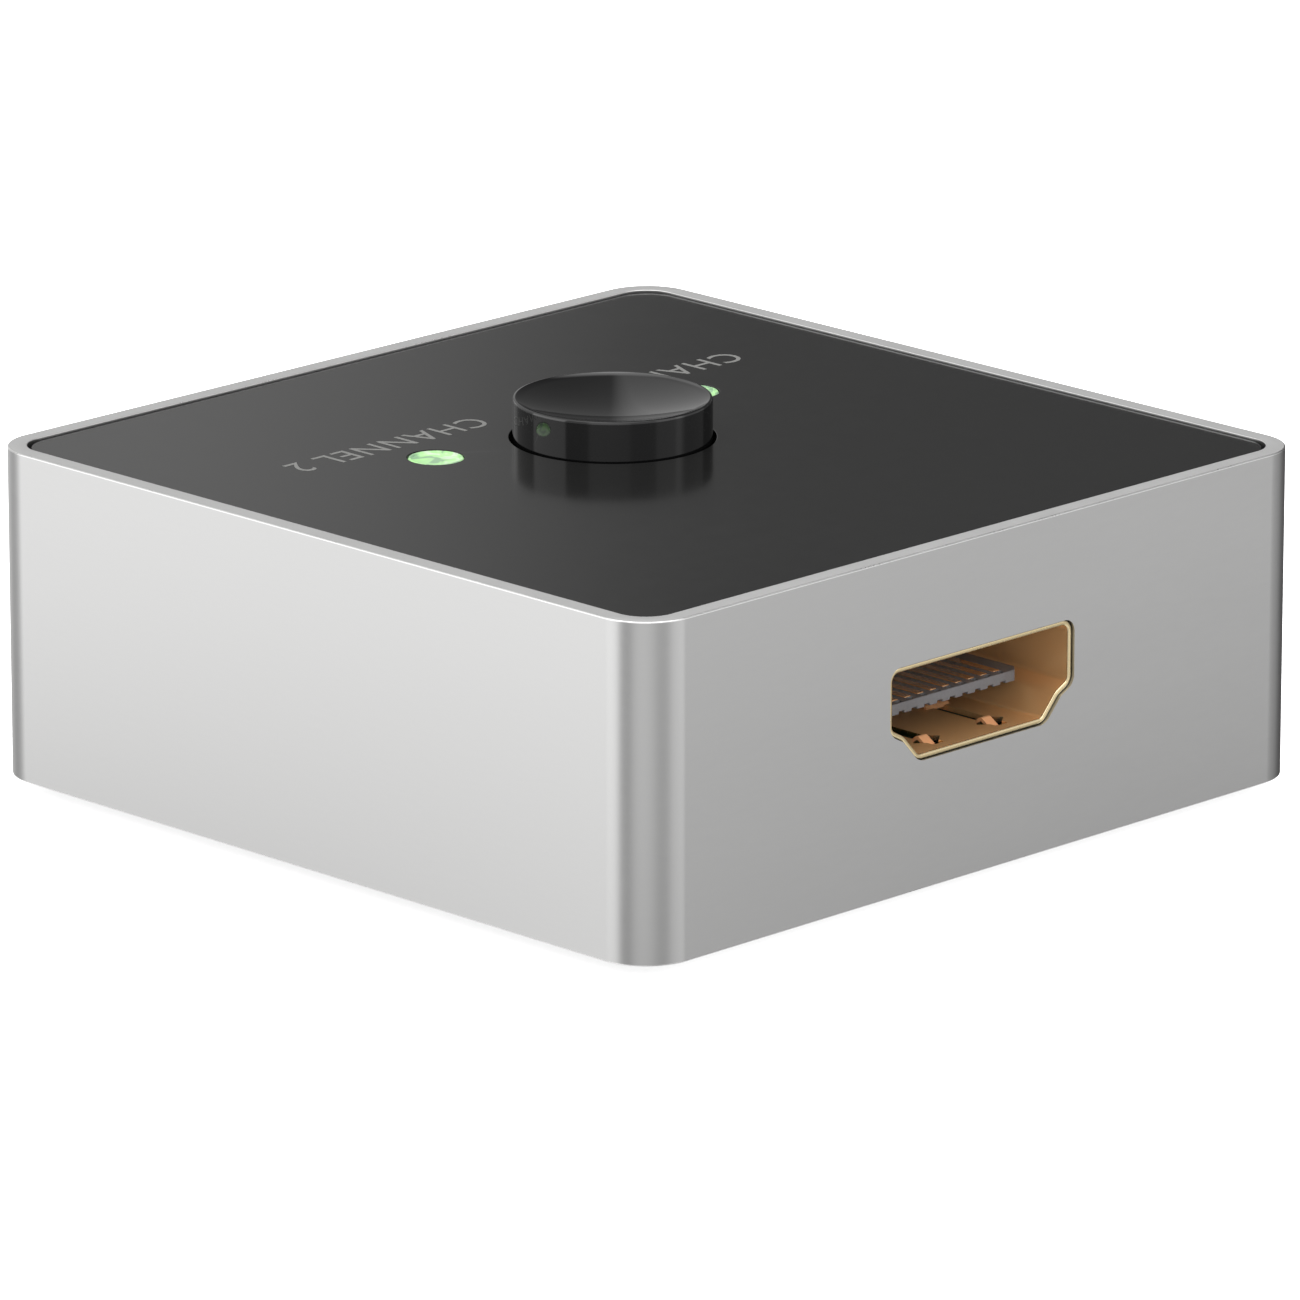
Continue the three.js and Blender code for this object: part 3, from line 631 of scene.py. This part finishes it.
contact = {"count": 10, "pitch": 1.0, "width": 0.54, "play": 0.01, "thick": 0.14, "lift": 0.03, "inset": 0.02,
           "lowHalf": 0.18, "end": 10.4, "edge": 0.05}
columns = [(i - (contact["count"] - 1) / 2) * contact["pitch"] for i in range(contact["count"])]


def makeShell(name, place):
    bm = bmesh.new()
    outer = mouthLoop(bm, socket["sheet"])
    outerEdges = outer.edges[:]
    inner = mouthLoop(bm, 0)
    innerEdges = inner.edges[:]
    bmesh.ops.delete(bm, geom=[outer, inner], context="FACES_ONLY")
    bmesh.ops.bridge_loops(bm, edges=outerEdges + innerEdges)
    out = bmesh.ops.extrude_face_region(bm, geom=bm.faces[:])
    far = [v for v in out["geom"] if isinstance(v, bmesh.types.BMVert)]
    depth = cadBox("output_socket_shell")
    bmesh.ops.translate(bm, vec=(0, depth[0].y - depth[1].y, 0), verts=far)
    bmesh.ops.recalc_face_normals(bm, faces=bm.faces[:])
    front = [e for e in bm.edges if all(abs(v.co.y) < 1e-4 for v in e.verts)
             and e.is_manifold and e.calc_face_angle() > 1]
    bmesh.ops.bevel(bm, geom=front, offset=socket["lip"], offset_type="OFFSET", segments=3, profile=0.5,
                    affect="EDGES", material=-1)
    piece = looseObject(f"{name}_shell", bm)
    margin, backFrom, backHigh = socket["openBack"]
    backHalf = socket["floorHalf"] + margin
    slots = [((-backHalf, -socket["cutDepth"], -1), (backHalf, -backFrom, backHigh))]
    slotBack, slotFront = finger["slotEnds"]
    for side in (-1, 1):
        x, half = side * finger["x"], finger["slot"]
        slots.append(((x - half, slotBack, -1), (x + half, slotFront, 1)))
    cutAway(piece, blocks("slots", slots))
    wing, neck = finger["wing"], finger["slot"]
    mouth, narrow, wide, end = finger["notch"]
    around = [(-neck, mouth), (neck, mouth), (neck, narrow), (wing, wide), (neck, end), (-neck, end),
              (-wing, wide), (-neck, narrow)]
    for side in (-1, 1):
        bm = bmesh.new()
        face = bm.faces.new([bm.verts.new((side * finger["x"] + x, y, -1)) for x, y in around])
        raised(bm, [face], 2)
        cutAway(piece, looseObject("notch", bm))
    for polygon in piece.data.polygons:
        inwards = Vector((0, 0, socket["height"] / 2)) - polygon.center
        inwards.y = 0
        facesIn = polygon.normal.dot(inwards) > 0 and abs(polygon.normal.y) < 0.5
        # inward walls past the lip get the gold with painted shade
        if polygon.center.y < -socket["lipDepth"] and facesIn:
            polygon.material_index = 1
        elif polygon.normal.y > 0.99 and polygon.center.y > -0.01:
            polygon.material_index = 2
    piece.data.transform(place)
    finish(piece, [goldShell, shadedGoldInside, goldFace], stands=[f"{name}_socket_shell"])


def bentStrip(name, x, half, line, sheet):
    bm = bmesh.new()
    points = [bm.verts.new((x - half, -depth, height)) for depth, height in line]
    edges = [bm.edges.new(pair) for pair in zip(points, points[1:])]
    out = bmesh.ops.extrude_edge_only(bm, edges=edges)
    moved = [v for v in out["geom"] if isinstance(v, bmesh.types.BMVert)]
    bmesh.ops.translate(bm, vec=(2 * half, 0, 0), verts=moved)
    bends = [e for e in bm.edges if e.is_manifold and e.calc_face_angle() > 0.05]
    bmesh.ops.bevel(bm, geom=bends, offset=0.1, offset_type="OFFSET", segments=4, profile=0.5, affect="EDGES",
                    material=-1)
    bmesh.ops.recalc_face_normals(bm, faces=bm.faces[:])
    piece = looseObject(name, bm)
    thicken = piece.modifiers.new("sheet", "SOLIDIFY")
    thicken.thickness, thicken.offset = sheet, 0
    settle(piece)
    return piece


def makeFingers(name, place):
    for number, side in enumerate((-1, 1)):
        x = side * finger["x"]
        strips = {"finger": (finger["half"], finger["line"], finger["sheet"]),
                  "finger_tab": (finger["tab"], finger["tabLine"], finger["tabSheet"])}
        for kind, (half, line, sheet) in strips.items():
            piece = bentStrip(f"{name}_{kind}_{number + 1}", x, half, line, sheet)
            piece.data.transform(place)
            finish(piece, [fingerCopper])


def makeInsulator(name, place):
    bm = bmesh.new()
    half, front, chamfer = tongue["half"], -tongue["front"], tongue["chamfer"]
    back = -tongue["back"]
    outline = [(-half, back), (half, back), (half, front - chamfer), (half - chamfer, front),
               (-half + chamfer, front), (-half, front - chamfer)]
    face = bm.faces.new([bm.verts.new((x, y, tongue["low"])) for x, y in outline])
    raised(bm, [face], tongue["high"] - tongue["low"])
    piece = looseObject(f"{name}_tongue", bm)
    width, top, deep = contact["width"] / 2, tongue["high"], socket["cutDepth"]
    start, pocketEnd = front - tongue["start"], front - tongue["lip"]
    cutAway(piece, blocks("upper", [((x - width, -deep, top - tongue["groove"]), (x + width, start, 3))
                                    for x in columns]))
    half, low = tongue["lowGrooveHalf"], tongue["low"] + tongue["lowGroove"]
    cutAway(piece, blocks("lower", [((x - half, -deep, 0), (x + half, 0, low)) for x in columns]))
    half, pocketStart = tongue["pocketHalf"], pocketEnd - tongue["pocket"]
    cutAway(piece, blocks("pockets", [((x - half, pocketStart, top - tongue["pocketDeep"]),
                                       (x + half, pocketEnd, 3)) for x in columns]))
    block = mouthPrism("block", -tongue["blockInset"], *tongue["block"])
    join = piece.modifiers.new("join", "BOOLEAN")
    join.operation, join.solver, join.object = "UNION", "EXACT", block
    settle(piece)
    bpy.data.objects.remove(block)
    softenEdges(piece, tongue["edge"], 1, 50)
    piece.data.transform(place)
    finish(piece, [socketPlastic], stands=[f"{name}_socket_insulator"])


def makeContacts(name, place):
    thick = contact["thick"]
    rows = {
        "upper": (tongue["high"] - thick + contact["lift"], contact["width"] / 2 - contact["play"],
                  tongue["start"] + contact["inset"]),
        "lower": (tongue["low"], contact["lowHalf"], tongue["start"]),
    }
    for row, (low, half, start) in rows.items():
        front = -tongue["front"] - start
        boxes = [((x - half, -contact["end"], low), (x + half, front, low + thick)) for x in columns]
        piece = blocks(f"{name}_{row}_row", boxes)
        softenEdges(piece, contact["edge"], 3, 50)
        piece.data.transform(place)
        finish(piece, [contactCopper], stands=[f"{name}_{row}_contacts"])


socketFill = {"offset": (26, 75, 26), "size": 0.05, "watts": 0.03}  # offset in millimetres, size in metres


def addSocketFill():
    # a small lamp before the near socket, which the polished metal doesn't show
    back = Vector(socketFill["offset"])
    middle = places["output"] @ Vector((0, 0, socket["height"] / 2))
    addCard("socket_fill", (middle + back) * 0.001, back, socketFill["size"], socketFill["watts"],
            glossy=False)


base = {"corner": 1.9, "height": 1.8, "edge": 0.12, "footSeat": 3.9, "seatDepth": 0.6,
        "screwWell": 2.15, "wellDepth": 1.65}


def makeBottomCover():
    low, high = cadBox("bottom_cover")
    bm = bmesh.new()
    faces = roundedSquare(bm, high.x - low.x, base["corner"], low.z, 16)
    raised(bm, faces, base["height"])
    piece = looseObject("base_cover", bm)
    for number in range(1, 5):
        seat, well = cadMiddle(f"rubber_foot_{number}"), cadMiddle(f"case_screw_{number}")
        cutAway(piece, plug(base["footSeat"], low.z - 1, low.z + base["seatDepth"], seat, 96))
        cutAway(piece, plug(base["screwWell"], low.z - 1, low.z + base["wellDepth"], well, 64))
    softenEdges(piece, base["edge"], 3, 50)
    finish(piece, [blackPlastic], stands=["bottom_cover"])


foot = {"hollow": 0.12, "hollowEdge": (1.2, 0.1), "ringFrom": 1.0, "ringTo": 0.4, "chamfer": 0.4,
        "edge": 0.08}


def makeFeet():
    hollowIn, hollowHigh = foot["hollowEdge"]
    for number in range(1, 5):
        low, high = cadBox(f"rubber_foot_{number}")
        radius = (high.x - low.x) / 2
        profile = [(0, foot["hollow"]), (radius - hollowIn, hollowHigh), (radius - foot["ringFrom"], 0),
                   (radius - foot["ringTo"], 0), (radius, foot["chamfer"]), (radius, high.z), (0, high.z)]
        piece = turned(f"foot_{number}", profile, cadMiddle(f"rubber_foot_{number}"), 72)
        softenEdges(piece, foot["edge"], 3, 25)
        finish(piece, [footRubber], stands=[f"rubber_foot_{number}"])


screw = {"head": [(0, 0), (1.3, 0), (1.75, 0.25), (1.9, 0.6), (1.9, 1.15), (0.9, 1.15)],
         "shank": 0.9, "pointLength": 0.6, "point": 0.3,
         "slotLength": 1, "slotHalf": 0.2, "slotDepth": 0.7, "edge": 0.05}


def makeScrews():
    length, half = screw["slotLength"], screw["slotHalf"]
    for number in range(1, 5):
        low, high = cadBox(f"case_screw_{number}")
        x, y = cadMiddle(f"case_screw_{number}")
        head = [(radius, low.z + height) for radius, height in screw["head"]]
        shank = [(screw["shank"], high.z - screw["pointLength"]), (screw["point"], high.z), (0, high.z)]
        piece = turned(f"screw_{number}", head + shank, (x, y), 48)
        for across, along in ((length, half), (half, length)):
            slot = ((x - across, y - along, low.z - 1), (x + across, y + along, low.z + screw["slotDepth"]))
            cutAway(piece, blocks("cross", [slot]))
        softenEdges(piece, screw["edge"], 2, 30)
        finish(piece, [screwSteel], stands=[f"case_screw_{number}"])


spring = {"radius": 1.3, "wire": 0.15, "turns": 4, "stepsPerTurn": 32}


def makeSpring():
    low, high = cadBox("return_spring")
    x, y = cadMiddle("return_spring")
    steps = spring["turns"] * spring["stepsPerTurn"]
    rise = high.z - low.z - 2 * spring["wire"]
    bm = bmesh.new()
    start = Matrix.Translation((spring["radius"], 0, 0)) @ Matrix.Rotation(math.pi / 2, 4, "X")
    bmesh.ops.create_circle(bm, cap_ends=True, segments=12, radius=spring["wire"], matrix=start)
    bmesh.ops.spin(bm, geom=bm.verts[:] + bm.edges[:] + bm.faces[:], cent=(0, 0, 0), axis=(0, 0, 1),
                   dvec=(0, 0, rise / steps), angle=spring["turns"] * math.tau, steps=steps)
    bmesh.ops.recalc_face_normals(bm, faces=bm.faces[:])
    bmesh.ops.translate(bm, vec=(x, y, low.z + spring["wire"]), verts=bm.verts[:])
    piece = looseObject("press_spring", bm)
    finish(piece, [springSteel], stands=["return_spring"], body="button")
    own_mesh(piece)


kept = {
    "top_cover": blackPlastic, "circuit_board": boardGreen, "switch_housing": switchPlastic,
    "switch_plunger": switchPlastic, "switch_lid": springSteel, "latch_wire": springSteel,
    "moving_contact": contactCopper, "switch_pin": contactCopper, "led": ledWhite, "capacitor": ceramicTan,
    "switch_chip": chipBlack, "voltage_regulator": chipBlack, "esd_array": chipBlack,
}


def dressKeptParts():
    for name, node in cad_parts.items():
        for start, material in kept.items():
            if name.startswith(start):
                node.data.materials.clear()
                node.data.materials.append(material)


makeSleeve()
makeTopPlate()
print("stage: case")
makeButton()
makeLights()
makeLabels()
print("stage: button, lights and labels")
for socketName, socketPlace in places.items():
    makeShell(socketName, socketPlace)
    makeFingers(socketName, socketPlace)
    makeInsulator(socketName, socketPlace)
    makeContacts(socketName, socketPlace)
addSocketFill()
print("stage: sockets")
makeBottomCover()
makeFeet()
makeScrews()
makeSpring()
dressKeptParts()
print("stage: underside and inside")
